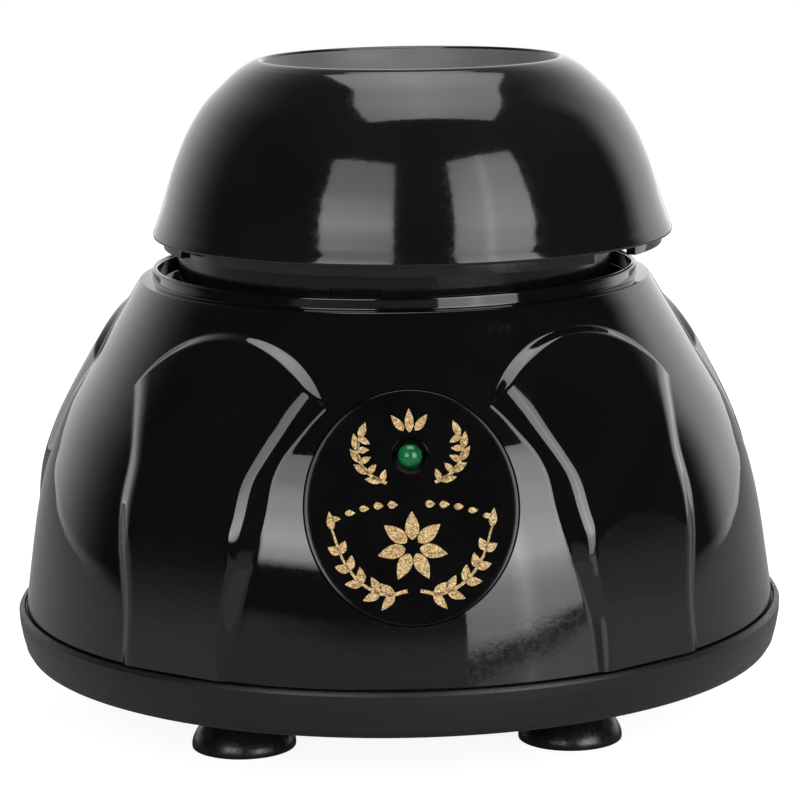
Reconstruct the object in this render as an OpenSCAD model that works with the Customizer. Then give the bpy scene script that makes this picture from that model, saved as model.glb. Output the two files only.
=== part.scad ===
// Nail polish shaker machine. Millimetres, +Z up, the feet stand on z = 0 and the front faces -Y.
// The bottle is pressed into the rubber cup. The cup sinks with the motor carriage, closes the
// micro switch, and the eccentric under it carries it round a small circle without turning it.

/* [Body] */
// Outer radius of the bell's skirt at its lower edge
skirt_r = 50.9; // [50.7:0.1:51.1]
// Lean of the skirt from upright, in degrees
skirt_lean = 9.5; // [9.3:0.1:9.7]
// Lean of the upper cone from upright, in degrees
cone_lean = 30.4; // [30.2:0.1:30.6]
// Radius of the bend between the skirt and the cone
bend_r = 32; // [31:0.5:33]
// Height at which the skirt stands on the base
skirt_z = 15.4; // [15.2:0.1:15.6]
// Wall thickness of the bell
wall = 2.4; // [2:0.1:2.6]

/* [Arch panels] */
// Number of raised arches round the bell
arch_count = 5; // [5:1:5]
// How far the upper part of an arch stands out of the bell
arch_rise = 1.0; // [0.9:0.1:1.1]
// How far the foot of an arch stands out of the bell
arch_foot = 0.8; // [0.6:0.1:0.9]
// Height at which the flat foot of an arch ends
crease_z = 32.5; // [32:0.5:33]
// Half the width of an arch at its shoulders
arch_half_w = 15.3; // [14.5:0.1:15.5]
// Radius of the arch's round top
arch_crest_r = 18.4; // [18:0.1:19]
// Height of the top of the arch
arch_top_z = 56.1; // [55.5:0.1:56.5]

/* [Head] */
// Offset of the crank pin, which is the radius of the shaking circle
crank = 2.5; // [2:0.1:2.6]
// Height of the top of the rubber cup
cup_top_z = 88.2; // [88:0.1:88.4]
// Outer radius of the cup's lower lip
lip_r = 34.85; // [34.6:0.05:35]
// Height of the cup's lower lip
lip_z = 64.9; // [64.8:0.1:65]
// Depth of the bowl that takes the bottle
bowl_depth = 13; // [11:0.5:13.5]
// Travel of the head when it is pressed
press = 1.6; // [1.2:0.1:1.7]

/* [Base] */
// Largest radius of the base ring
base_r = 52; // [51.8:0.1:52.4]
// Height of the underside of the base
base_z = 8.95; // [8.8:0.05:9]
// Distance of the feet from the centre
foot_place = 30.4; // [29:0.1:31]
// Radius of a suction foot at the table
foot_r = 6.85; // [6.4:0.05:7]

/* [Badge and light] */
// Half the width of the oval badge
badge_half_w = 13.2; // [12.5:0.1:13.3]
// Half the height of the oval badge
badge_half_h = 14.6; // [14:0.1:14.7]
// Height of the light above the badge's centre, along the badge
light_up = 6.4; // [5:0.1:8]

/* [Hidden] */
$fn = 96;
big = 130;                       // longer than anything that is cut
gap = 0.05;                      // radial clearance of a running fit

arch_step = 360 / arch_count;
first_arch = arch_step / 2;      // the badge sits on the rib between two arches

ledge_low = 55.8;                // inner ledge of the housing, under the turret
ledge_high = 58.3;
ledge_r = 20;
shoulder_z = 59.2;               // flat shoulder that the raised ring stands on
ring_top_z = 60.75;
ring_out_r = 32.6;
ring_in_r = 31.8;
cone_top_r = 34.4;

turret_r = 29.1;
turret_top = 64.4;
deck_low = 62.4;
deck_hole_r = 14;
guide_place = 25;                // shoulder bolts, turret bosses and bushes
guide_r = 2;
bolt_r = 1.5;
pin_place = 20.5;                // pins that keep the head from turning
pin_r = 1.9;
pin_hole_r = 5.2;

plate_low = 50;
plate_high = 53;
plate_r = 30.5;
bolt_head_z = 41.5;              // the springs stand on the bolt heads
motor_r = 13.85;
motor_low = 19;
shaft_r = 1.585;
bearing_low = 65.5;
bearing_high = 70.5;
race_in_r = 4;
race_mid_r = 5.6;
race_out_r = 8;
carrier_top = 71.8;
skirt_low = 63.5;
lug_place = 5.75;                // half-round lug at the drum's front
lug_r = 1.75;
lug_z = 63.1;

floor_z = 11.45;                 // upper face of the base plate's floor
spigot_r = 47.6;
screw_place = 42.5;
foot_turn = 45;

badge_lean = 20.3;
badge_y = -44.75;
badge_z = 36.7;
badge_thick = 0.9;
board_z = 14.5;
board_top = 16.1;
jack_z = 26.5;
jack_r = 4;
power_z = 26;
power_turn = 144;
power_travel = 16;

shell_black = [0.045, 0.045, 0.05];
base_black = [0.13, 0.13, 0.135];
rubber_black = [0.05, 0.05, 0.055];
steel = [0.72, 0.73, 0.75];
brass = [0.78, 0.6, 0.26];

// ---------------------------------------------------------------- outlines and helpers

// Points of a round stretch from angle a to angle b about a centre
function arc(c, r, a, b, n) =
    [for (i = [0:n]) let (t = a + (b - a) * i / n) [c[0] + r * cos(t), c[1] + r * sin(t)]];

// A chain of arcs that run smoothly into each other. Each entry is [radius, end angle], where
// the angle is that of the outward normal above the horizontal.
function chain(p, a, arcs, i = 0) = i == len(arcs) ? [] :
    let (r = arcs[i][0], b = arcs[i][1], c = [p[0] - r * cos(a), p[1] - r * sin(a)],
         steps = max(2, ceil(abs(b - a) / 6)))
    concat(arc(c, r, a, b, steps), chain([c[0] + r * cos(b), c[1] + r * sin(b)], b, arcs, i + 1));

// The bell's outline from the skirt up to the cone's top, moved out by d along its normal
skirt_len = 16;
bend_c = [skirt_r - skirt_len * sin(skirt_lean) - bend_r * cos(skirt_lean),
          skirt_z + skirt_len * cos(skirt_lean) - bend_r * sin(skirt_lean)];
cone_foot = [bend_c[0] + bend_r * cos(cone_lean), bend_c[1] + bend_r * sin(cone_lean)];
cone_top_z = cone_foot[1] + (cone_foot[0] - cone_top_r) / tan(cone_lean);

function skirt_r_at(z, d) = skirt_r + d / cos(skirt_lean) - (z - skirt_z) * tan(skirt_lean);
function cone_r_at(z, d) = cone_foot[0] + d / cos(cone_lean) - (z - cone_foot[1]) * tan(cone_lean);
function bell(d, low, high) = concat([[skirt_r_at(low, d), low]],
    arc(bend_c, bend_r + d, skirt_lean, cone_lean, 6), [[cone_r_at(high, d), high]]);

// The round part of the arches: an arc and a cone that sinks into the bell at the top
crease = [skirt_r_at(crease_z, 0) + 1.55, crease_z];
crease_lean = 15;
arch_lean = atan((skirt_r + arch_foot - crease[0]) / (crease_z - skirt_z));
arch_arc_r = (cone_r_at(crease_z, arch_rise) - crease[0])
    / (cos(cone_lean) - cos(crease_lean) + (sin(cone_lean) - sin(crease_lean)) * tan(cone_lean));
fade_z = 50;
arch_end_z = 57.5;
function arch_line() = concat([[crease[0] + (crease_z - skirt_z) * tan(crease_lean), skirt_z], crease],
    chain(crease, crease_lean, [[arch_arc_r, cone_lean]]),
    [[cone_r_at(fade_z, arch_rise), fade_z], [cone_r_at(arch_end_z, 0.1), arch_end_z]]);
function turned(points) = [for (i = [len(points) - 1:-1:0]) points[i]];

module revolve(points) rotate_extrude($fn = 128) polygon(points);
module tube(r_out, r_in, low, high) difference() {
    translate([0, 0, low]) cylinder(r = r_out, h = high - low);
    translate([0, 0, low - 1]) cylinder(r = r_in, h = high - low + 2);
}
module rod(r, low, high) translate([0, 0, low]) cylinder(r = r, h = high - low);
module block(x, y, z) translate([x[0], y[0], z[0]]) cube([x[1] - x[0], y[1] - y[0], z[1] - z[0]]);
module at_head() translate([crank, 0, 0]) children();
module around(count, place, start = 0)
    for (i = [0:count - 1]) rotate([0, 0, start + i * 360 / count]) translate([place, 0, 0]) children();

// A frame on the bell: -Y points out of the wall, which leans back
module on_wall(turn, z, lean, out)
    rotate([0, 0, turn]) translate([0, -out, z]) rotate([-lean, 0, 0]) children();
module along_y(r, from, to) translate([0, from, 0]) rotate([-90, 0, 0]) cylinder(r = r, h = to - from);
module oval(w, h, from, to)
    translate([0, from, 0]) rotate([-90, 0, 0]) scale([w, h, 1]) cylinder(r = 1, h = to - from);
module on_badge() on_wall(0, badge_z, badge_lean, -badge_y) children();
module on_rear() on_wall(180, jack_z, arch_lean, crease[0] + (crease_z - jack_z) * tan(arch_lean)) children();
module on_power() on_wall(power_turn, power_z, skirt_lean, skirt_r_at(power_z, 0)) children();

// ---------------------------------------------------------------- housing

// The side walls of the arches lie on five upright faces that lean in with the bell
module arch_vault() intersection_for(k = [0:arch_count - 1]) rotate([0, 0, k * arch_step])
    translate([-big / 2, 0, 0]) rotate([90, 0, 90]) linear_extrude(big)
    polygon([[-46.4, skirt_z], [-43.7, 32], [-43.2, 36], [-42.3, 40], [-40.9, 44], [-39.1, 48.6],
             [-36, 57], [big / 2, 57], [big / 2, skirt_z]]);

// Each arch ends below in a flat facet. It cuts the round part, so the crease between them is scalloped.
flat_side = 9;                   // where the facet's radius is given, in degrees from the arch's middle
module arch_facets() intersection_for(k = [0:arch_count - 1]) rotate([0, 0, first_arch + k * arch_step])
    translate([-big / 2, 0, 0]) rotate([90, 0, 90]) linear_extrude(big) let (
        foot = (skirt_r + arch_foot) * cos(flat_side), rise = arch_end_z - skirt_z)
    polygon([[-foot, skirt_z], [-foot + rise * tan(arch_lean), arch_end_z], [big / 2, arch_end_z],
             [big / 2, skirt_z]]);

// One arch, seen along its own direction: a round top on upright sides
module arch_prism() translate([0, 0, arch_top_z - arch_crest_r]) rotate([90, 0, 0]) linear_extrude(60) {
    intersection() {
        circle(r = arch_crest_r, $fn = 160);
        translate([-arch_half_w, 0]) square([2 * arch_half_w, arch_crest_r + 1]);
    }
    translate([-arch_half_w, skirt_z - arch_top_z + arch_crest_r])
        square([2 * arch_half_w, arch_top_z - arch_crest_r - skirt_z + 0.01]);
}
module arches() intersection() {
    revolve(concat(arch_line(), turned(bell(-wall / 2, skirt_z, arch_end_z))));
    arch_vault();
    arch_facets();
    for (k = [0:arch_count - 1]) rotate([0, 0, first_arch + k * arch_step]) arch_prism();
}

// The shell with its neck: a flat shoulder, a raised ring, a trough behind it and the turret's ledge
module bell_shell() revolve(concat(bell(0, skirt_z, cone_top_z),
    [[cone_top_r - 0.2, shoulder_z], [ring_out_r + 0.15, shoulder_z], [ring_out_r + 0.05, shoulder_z + 0.1],
     [ring_out_r - 0.05, ring_top_z - 0.2], [ring_out_r - 0.2, ring_top_z], [ring_in_r + 0.2, ring_top_z],
     [ring_in_r, ring_top_z - 0.3], [ring_in_r, ledge_high], [ledge_r, ledge_high], [ledge_r, ledge_low]],
    turned(bell(-wall, skirt_z, ledge_low))));

module at_posts()
    for (turn = [30, 150, 210, 330]) rotate([0, 0, turn]) translate([screw_place, 0, 0]) children();
module screw_posts() at_posts() difference() {
    union() {
        rod(3.4, 13.2, 34);
        block([1, 6.5], [-0.8, 0.8], [18.5, 30]);
    }
    rod(1.3, 12, 26);
}
module housing() color(shell_black) difference() {
    union() {
        bell_shell();
        arches();
        intersection() {
            revolve(concat([[0, 12]], [[skirt_r_at(12, -wall / 2), 12]], bell(-wall / 2, skirt_z, ledge_low),
                [[0, ledge_low]]));
            union() {
                screw_posts();
                on_badge() oval(badge_half_w + 2.5, badge_half_h + 2.5, badge_thick, 3);
                on_rear() along_y(7.2, 1, 4.4);
            }
        }
    }
    on_badge() {
        oval(badge_half_w + 0.15, badge_half_h + 0.15, -6, badge_thick);
        translate([0, 0, light_up]) along_y(1.6, 0, 6);
    }
    on_rear() {
        along_y(6.2, -3, 0.5);
        along_y(jack_r + 0.1, 0, 8);
    }
    on_power() {
        block([-5.5, 5.5], [-3, 0.45], [-7.75, 7.75]);
        block([-4.35, 4.35], [-1, 6], [-6.65, 6.65]);
    }
    around(3, guide_place) rod(bolt_r + 0.1, 50, 62);
}

module drum_window(half_w, top) block([-half_w, half_w], [-turret_r - 1, -turret_r + 0.7], [58.6, top]);

// Fixed drum under the cup, with the deck that the head's pins reach through
module turret() color(shell_black) difference() {
    union() {
        tube(turret_r, turret_r - 1.8, ledge_high, turret_top);
        tube(turret_r - 1, deck_hole_r, deck_low, turret_top);
        around(3, guide_place) rod(2.9, ledge_high, deck_low + 0.5);
        intersection() {
            translate([lug_place, 0, lug_z]) rotate([90, 0, 0]) cylinder(r = lug_r, h = turret_r + 0.5);
            tube(turret_r + 0.35, turret_r - 1, lug_z - 2, lug_z);
        }
    }
    around(3, guide_place) rod(bolt_r + gap, 57, 62.6);
    around(3, pin_place, 90) rod(pin_hole_r, 61, 66);
    // shallow windows low in the drum's wall, narrow and wide in turn
    for (turn = [-12, 108, 228]) {
        rotate([0, 0, turn]) drum_window(3.25, 61.5);
        rotate([0, 0, turn + 31]) drum_window(5.4, 61.1);
    }
}

// ---------------------------------------------------------------- base and feet

module base_plate() color(base_black) difference() {
    union() {
        revolve([[0, base_z], [base_r - 2, base_z], [base_r - 1.2, base_z + 0.35], [base_r - 0.75, base_z + 1.1],
            [base_r - 0.05, 13.6], [base_r, 14.7], [base_r - 0.25, 15.15], [base_r - 0.7, 15.2],
            [base_r - 0.8, 14.8], [49.4, 14.8], [49.4, skirt_z], [spigot_r, skirt_z], [spigot_r, 18.2],
            [spigot_r - 1.5, 18.2], [spigot_r - 1.5, floor_z], [0, floor_z]]);
        at_posts() rod(4.4, floor_z - 1, 13.2);
        at_board_screws() rod(2.1, floor_z - 1, board_z);
        around(4, foot_place, foot_turn) rod(5.2, base_z + 0.5, floor_z + 0.6);
        // stiffening ribs across the floor
        for (turn = [0, 90]) rotate([0, 0, turn]) for (s = [-1, 1])
            block([s * 17 - 0.7, s * 17 + 0.7], [-12, 12], [floor_z - 1, floor_z + 1.5]);
    }
    at_posts() {
        rod(1.8, 5, 20);
        rod(3.3, 5, base_z + 1.6);
    }
    around(4, foot_place, foot_turn) rod(2.6, 5, 20);
    at_board_screws() rod(1, 10.5, 20);
    for (x = [-4.5, 4.5]) translate([x, -33, 0]) rod(1, 10.3, 20);
    // shallow step that frames the underside
    difference() {
        rod(46, base_z - 1, base_z + 0.5);
        rod(38.5, base_z - 2, base_z + 1);
        at_posts() rod(5.2, base_z - 2, base_z + 1);
    }
}

// A suction foot: a thin cup below, a neck, and a head that snaps through the base
module foot(i) color(rubber_black) rotate([0, 0, i * 90 + foot_turn]) translate([foot_place, 0, 0])
    revolve([[0, 2.1], [3, 1.9], [5, 1.1], [foot_r - 0.55, 0], [foot_r, 0], [foot_r, 0.5], [foot_r - 0.25, 1.3],
        [foot_r - 0.75, 2.3], [foot_r - 1.6, 3.5], [4.2, 4.6], [3.5, 5.6], [3.3, 6.6], [3.5, base_z - 0.9],
        [4.3, base_z], [2.6, base_z], [2.6, floor_z + 0.6], [3.6, floor_z + 0.6], [3.5, 12.6], [2.4, 13.4],
        [0, 13.6]]);
module foot_rear_right() foot(0);
module foot_rear_left() foot(1);
module foot_front_left() foot(2);
module foot_front_right() foot(3);

module pan_screw(r, low, high, head_r, head_h) difference() {
    union() {
        rod(r, low, high);
        rod(head_r, low - head_h, low);
    }
    translate([0, 0, low - head_h - 0.5]) for (turn = [0, 90]) rotate([0, 0, turn])
        block([-head_r * 0.6, head_r * 0.6], [-0.3, 0.3], [0, 1.1]);
}
module base_screws() color(steel) at_posts() pan_screw(1.25, base_z + 1.6, 24, 2.8, 1.3);

// ---------------------------------------------------------------- badge and light

module badge_plate() color([0.03, 0.03, 0.03]) difference() {
    on_badge() oval(badge_half_w, badge_half_h, 0, badge_thick);
    on_badge() translate([0, 0, light_up]) along_y(2.3, -2, 4);
}
module led_lens() color([0.1, 0.55, 0.25]) on_badge() translate([0, 0, light_up]) {
    intersection() {
        along_y(1.5, -2, 3.2);
        union() {
            translate([0, 0.9, 0]) sphere(r = 1.5);
            along_y(1.5, 0.9, 3.2);
        }
    }
    along_y(1.9, 3.2, 4.2);
}
module led_clip() color(base_black) on_badge() translate([0, 0, light_up]) difference() {
    along_y(3.2, 3, 5.6);
    along_y(1.5, 2, 3.2);
    along_y(1.9, 3.2, 4.2);
    along_y(1.2, 4, 7);
}

// ---------------------------------------------------------------- power inlet and switch

module dc_jack() color([0.1, 0.1, 0.1]) on_rear() difference() {
    union() {
        along_y(5.6, -0.6, 0.5);
        along_y(jack_r, 0.5, 13);
    }
    along_y(2.9, -2, 8.6);
    along_y(1, 8, 14);
}
module jack_pin() color(steel) on_rear() {
    along_y(1, 1.4, 14.2);
    translate([0, 1.4, 0]) sphere(r = 1);
}
module jack_nut() color(steel) on_rear() difference() {
    translate([0, 4.4, 0]) rotate([-90, 0, 0]) cylinder(r = 6, h = 2, $fn = 6);
    along_y(jack_r, 4, 7);
}
module jack_contacts() color(brass) on_rear() for (turn = [90, 210, 330]) rotate([0, turn, 0])
    block([2.2, 3], [13, 15.8], [-0.9, 0.9]);

module power_frame() color([0.06, 0.06, 0.06]) on_power() difference() {
    union() {
        block([-5.35, 5.35], [-0.75, 0.45], [-7.6, 7.6]);
        block([-4.25, 4.25], [0.45, 12], [-6.55, 6.55]);
    }
    block([-3.75, 3.75], [-2, 8], [-6.1, 6.1]);
    translate([-4.2, 2, 0]) rotate([0, 90, 0]) cylinder(r = 0.8 + gap, h = 8.4);
}
module power_terminals() color(brass) on_power() for (z = [-3.4, 3.4])
    block([-2.4, 2.4], [12, 17], [z - 0.4, z + 0.4]);

// The rocker lies switched off. Its ends are round about the pivot, so they clear the frame.
module power_rocker() color([0.08, 0.08, 0.08])
    on_power() translate([0, 2, 0]) rotate([power_travel / 2, 0, 0]) {
    intersection() {
        rotate([0, 90, 0]) translate([0, 0, -3.4]) cylinder(r = 5.75, h = 6.8);
        rotate([90, 0, 90]) translate([0, 0, -4]) linear_extrude(8)
            polygon([[-3.3, -6], [-2.1, 0], [-3.3, 6], [1.6, 6], [1.6, -6]]);
    }
    rotate([0, 90, 0]) translate([0, 0, -4.1]) cylinder(r = 0.8, h = 8.2);
}

// ---------------------------------------------------------------- board and start switch

module at_board_screws() for (x = [-15, 15], y = [20.3, 33.3]) translate([x, y, 0]) children();
module control_board() color([0.05, 0.3, 0.14]) difference() {
    block([-18, 18], [17.6, 36], [board_z, board_top]);
    at_board_screws() rod(1.3, 13, 18);
}
module board_parts() color([0.2, 0.2, 0.22]) {
    translate([8.5, 23, 0]) rod(3.2, board_top, 20.4);
    block([-9.5, -4.5], [22, 26], [board_top, 17.6]);
    block([-2.5, 2.5], [30.4, 35], [board_top, 19.6]);
    block([-11.6, -7.4], [29, 33], [board_top, 19.4]);
    for (x = [-1, 2, 5]) block([x - 1, x + 1], [26.4, 27.6], [board_top, 16.7]);
}
module board_screws() color(steel) at_board_screws() {
    rod(0.95, 11.5, board_top);
    rod(1.9, board_top, 17.3);
}
module switch_bracket() color(steel) difference() {
    union() {
        block([-7, 7], [-38, -26.5], [floor_z, floor_z + 1.5]);
        block([-7, 7], [-28, -26.5], [floor_z, 41.5]);
        block([-7, 7], [-28, -18.4], [40, 41.5]);
        // folded gussets
        for (x = [-7, 6]) block([x, x + 1], [-31, -26.5], [floor_z, 20]);
    }
    for (x = [-4.5, 4.5]) translate([x, -33, 0]) rod(1.2, 10, 15);
    block([-3, 3], [-30, -25], [18, 34]);
}
module bracket_screws() color(steel) for (x = [-4.5, 4.5]) translate([x, -33, 0]) {
    rod(0.95, 10.4, floor_z + 1.5);
    rod(1.9, floor_z + 1.5, floor_z + 2.7);
}
module micro_switch() color([0.09, 0.09, 0.1]) difference() {
    union() {
        block([-6.4, 6.4], [-25.4, -18.9], [41.5, 47.6]);
        for (x = [-4.4, 0, 4.4]) block([x - 0.6, x + 0.6], [-23, -21.4], [41.5, 47.2]);
    }
    translate([0, -22, 0]) rod(1.2 + gap, 42.2, 49);
    for (x = [-4, 4]) translate([x, -30, 43.8]) along_y(0.85, 0, 16);
}
module switch_screws() color(steel) for (x = [-4, 4]) translate([x, 0, 43.8]) {
    along_y(0.8, -26.5, -18.9);
    along_y(1.6, -18.9, -17.9);
}
module switch_plunger() color([0.75, 0.2, 0.15]) translate([0, -22, 0]) {
    rod(1.2, 44, 49.1);
    translate([0, 0, 48.5]) intersection() {
        sphere(r = 1.2);
        rod(1.2, 0, 1.2);
    }
}

// ---------------------------------------------------------------- guides and springs

module shoulder_bolts() color(steel) around(3, guide_place) difference() {
    union() {
        rod(4.2, bolt_head_z - 2.5, bolt_head_z);
        rod(guide_r, bolt_head_z, ledge_low);
        rod(bolt_r, ledge_low, 62.4);
    }
    translate([0, 0, bolt_head_z - 3]) cylinder(r = 1.7, h = 2, $fn = 6);
}

// A pressed coil spring as one tube. Rings follow the helix and are joined by triangles.
spring_turns = 5;
spring_rings = 12;               // rings in each turn
spring_sides = 6;
spring_wire = 0.45;
spring_mid_r = 2.95;
spring_low = bolt_head_z + spring_wire;
spring_high = plate_low - spring_wire;
spring_pitch = (spring_high - spring_low) / spring_turns;
spring_gap = spring_pitch - 2 * spring_wire;
echo(least_gap_between_spring_turns = spring_gap);

function spring_point(a, b) = let (r = spring_mid_r + spring_wire * cos(b))
    [r * cos(a), r * sin(a), spring_low + spring_pitch * a / 360 + spring_wire * sin(b)];
module press_spring(i) color(steel) rotate([0, 0, i * 120]) translate([guide_place, 0, 0]) {
    last = spring_turns * spring_rings;
    points = [for (k = [0:last], j = [0:spring_sides - 1])
        spring_point(k * 360 / spring_rings, j * 360 / spring_sides)];
    sides = [for (k = [0:last - 1], j = [0:spring_sides - 1])
        let (a = k * spring_sides + j, b = k * spring_sides + (j + 1) % spring_sides)
        each [[a, a + spring_sides, b], [b, a + spring_sides, b + spring_sides]]];
    low_end = [for (j = [1:spring_sides - 2]) [0, j, j + 1]];
    top = last * spring_sides;
    high_end = [for (j = [1:spring_sides - 2]) [top, top + j + 1, top + j]];
    polyhedron(points, concat(low_end, sides, high_end));
}
module press_spring_1() press_spring(0);
module press_spring_2() press_spring(1);
module press_spring_3() press_spring(2);

// ---------------------------------------------------------------- motor carriage

module motor_plate() color([0.55, 0.56, 0.58]) difference() {
    union() {
        rod(plate_r, plate_low, plate_high);
        tube(plate_r, plate_r - 1.5, plate_low - 1.5, plate_high);
    }
    rod(3.05, 45, 60);
    around(2, 8, 90) rod(1.4, 45, 60);
    around(3, guide_place) rod(3.6, 45, 60);
    around(3, 22.5, 60) rod(5.6, 45, 60);
}
module guide_bushes() color([0.9, 0.9, 0.86]) around(3, guide_place) difference() {
    union() {
        rod(3.6, plate_low, plate_high);
        rod(5, plate_high, 55.3);
    }
    rod(guide_r + gap, 45, 60);
}
module motor_can() color(steel) difference() {
    revolve([[0, motor_low], [motor_r - 0.4, motor_low], [motor_r, motor_low + 0.4], [motor_r, 48.6],
        [motor_r - 1.4, plate_low], [0, plate_low]]);
    rod(2, 29, 60);
    around(2, 8, 90) rod(1.35, 46.5, 60);
    // the can's flat sides
    for (s = [-1, 1]) block([-20, 20], [s * 22.4 - 10, s * 22.4 + 10], [motor_low - 1, 46]);
}
module motor_end_cap() color([0.08, 0.08, 0.08]) {
    rod(12.3, 16.8, motor_low);
    rod(4, 15.7, 16.8);
}
module motor_tabs() color(brass) for (x = [-9, 9]) block([x - 1.4, x + 1.4], [-0.3, 0.3], [14.4, 16.8]);
module motor_bush() color(brass) tube(3, shaft_r + gap, plate_low, 52.4);
module motor_screws() color(steel) around(2, 8, 90) {
    rod(1.3, 47, plate_high);
    rod(2.2, plate_high, 54.4);
}

// ---------------------------------------------------------------- eccentric

module motor_shaft() color(steel) rod(shaft_r, 30, 60.4);
module crank_hub() color(brass) difference() {
    union() {
        rod(6.5, 55, 61.4);
        // counterweight opposite the crank pin
        intersection() {
            rod(12.5, 55.6, 60);
            block([-20, -1], [-20, 20], [50, 65]);
        }
        at_head() rod(4.9, 61, bearing_low);
        at_head() rod(race_in_r, 61, bearing_high);
    }
    rod(shaft_r, 50, 60.4);
    at_head() rod(1.5, 62.5, 72);
    translate([1, 0, 58]) rotate([0, 90, 0]) cylinder(r = 1.2, h = 8);
}
module hub_grub_screw() color([0.2, 0.2, 0.2]) translate([shaft_r, 0, 58]) rotate([0, 90, 0]) difference() {
    union() {
        cylinder(r = 0.9, h = 1.5);
        translate([0, 0, 1.45]) cylinder(r = 1.2, h = 2.6);
    }
    translate([0, 0, 3]) cylinder(r = 0.65, h = 3, $fn = 6);
}
module inner_race() color(steel) at_head() tube(race_mid_r, race_in_r, bearing_low, bearing_high);
module crank_washer() color(steel) at_head() tube(5.2, bolt_r, bearing_high, 71.2);
module crank_screw() color(steel) at_head() difference() {
    union() {
        rod(1.5, 63, 71.2);
        rod(3, 71.2, 72.9);
    }
    translate([0, 0, 71.9]) cylinder(r = 1.25, h = 3, $fn = 6);
}

// ---------------------------------------------------------------- head

module outer_race() color(steel) at_head() difference() {
    tube(race_out_r, race_mid_r + gap, bearing_low, bearing_high);
    for (z = [bearing_low - 0.8, bearing_high - 0.2]) tube(race_out_r - 0.7, race_mid_r + 0.2, z, z + 1);
}
module bearing_cover() color(steel) at_head() difference() {
    tube(10.8, 6.9, 64.3, bearing_low);
    around(3, 9.4, 30) rod(0.85, 60, 70);
}
module cover_screws() color(steel) at_head() around(3, 9.4, 30) {
    rod(0.8, 64.3, 69);
    rod(1.3, 63.6, 64.3);
}

// Plastic disc that carries the rubber, with a skirt that is cut away in places
module cup_carrier() color(shell_black) at_head() difference() {
    union() {
        revolve([[32.1, skirt_low], [33.5, skirt_low], [33.5, 65.3], [32, 70.5], [31.6, carrier_top],
            [race_out_r + 2.8, carrier_top], [race_out_r + 2.8, 69.3], [30.7, 69.3], [32.1, 66.6]]);
        tube(10.8, 6.6, bearing_low, carrier_top);
        for (turn = [0:30:330]) rotate([0, 0, turn]) block([10.6, 31.2], [-0.6, 0.6], [67.6, 69.5]);
        tube(14, 12.4, carrier_top - 0.5, 73.6);
    }
    rod(race_out_r, bearing_low - 1, bearing_high);
    around(3, 9.4, 30) rod(0.8, 60, 69.2);
    around(3, pin_place, 90) rod(pin_r, 60, 71);
    // gaps in the skirt
    for (turn = [-59, 49, 121, 229]) rotate([0, 0, turn])
        block([-4.6, 4.6], [-36, -30], [skirt_low - 1, lip_z]);
}
module carrier_pins() color(steel) at_head() around(3, pin_place, 90) rod(pin_r, 61, 71);

// Soft black cup: a low dome with a dished top and a thin lip at the bottom
bowl_r = 20.1;
sphere_r = (bowl_r * bowl_r + bowl_depth * bowl_depth) / (2 * bowl_depth);
bowl_low = cup_top_z - bowl_depth;
rim_edge = 0.8;                  // rounding of the bowl's rim
dome_low = cup_top_z - 21.09;
module rubber_cup() color(rubber_black) at_head() revolve(concat(
    [[33.5, lip_z], [lip_r, lip_z], [lip_r + 0.05, lip_z + 0.4], [34.55, 66.1]],
    chain([34.35, dome_low], 15, [[80, 21.5], [27.6, 45], [13, 70], [rim_edge, 120]]),
    arc([0, bowl_low + sphere_r], sphere_r, -26, -90, 12),
    [[0, carrier_top + 1.8], [12.4, carrier_top + 1.8], [14, carrier_top + 1.8], [14, carrier_top],
     [16, carrier_top], [17.5, 75.5], [21.2, 80.6], [23.6, 79.6], [26.5, 75.5], [28, carrier_top],
     [31.6, carrier_top], [32, 70.5], [33.5, 65.3]]));

// ---------------------------------------------------------------- parts

housing();
turret();
base_plate();
badge_plate();
led_lens();
led_clip();
foot_front_left();
foot_front_right();
foot_rear_left();
foot_rear_right();
base_screws();
shoulder_bolts();
press_spring_1();
press_spring_2();
press_spring_3();
dc_jack();
jack_pin();
jack_nut();
jack_contacts();
power_frame();
power_terminals();
power_rocker();
control_board();
board_parts();
board_screws();
switch_bracket();
bracket_screws();
micro_switch();
switch_screws();
switch_plunger();
motor_plate();
guide_bushes();
motor_can();
motor_end_cap();
motor_tabs();
motor_bush();
motor_screws();
motor_shaft();
crank_hub();
hub_grub_screw();
inner_race();
crank_washer();
crank_screw();
outer_race();
bearing_cover();
cover_screws();
cup_carrier();
carrier_pins();
rubber_cup();
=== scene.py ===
import math

import bpy
import numpy as np
from mathutils import Matrix, Vector


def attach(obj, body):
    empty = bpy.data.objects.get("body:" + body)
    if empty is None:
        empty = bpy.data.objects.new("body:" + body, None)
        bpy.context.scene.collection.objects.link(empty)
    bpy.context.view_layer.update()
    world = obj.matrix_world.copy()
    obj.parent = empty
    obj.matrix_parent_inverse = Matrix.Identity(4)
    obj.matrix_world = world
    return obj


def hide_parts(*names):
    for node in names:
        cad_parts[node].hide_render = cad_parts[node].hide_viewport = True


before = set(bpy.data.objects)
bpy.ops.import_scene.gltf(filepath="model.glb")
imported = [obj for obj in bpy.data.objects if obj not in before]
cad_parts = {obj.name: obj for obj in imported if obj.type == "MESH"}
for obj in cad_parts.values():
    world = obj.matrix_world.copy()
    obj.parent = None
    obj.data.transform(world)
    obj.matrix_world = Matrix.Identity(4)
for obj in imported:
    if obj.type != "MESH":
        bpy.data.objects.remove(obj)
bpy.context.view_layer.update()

MM = 0.001


# ---------------------------------------------------------------- small helpers

def rad(a):
    return math.radians(a)


def smooth_min(a, b, k):
    """The smaller value, blended over a width of k where the two are alike."""
    h = np.clip(0.5 + 0.5 * (b - a) / k, 0, 1)
    return b * (1 - h) + a * h - k * h * (1 - h)


def smooth_max(a, b, k):
    return -smooth_min(-a, -b, k)


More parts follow.
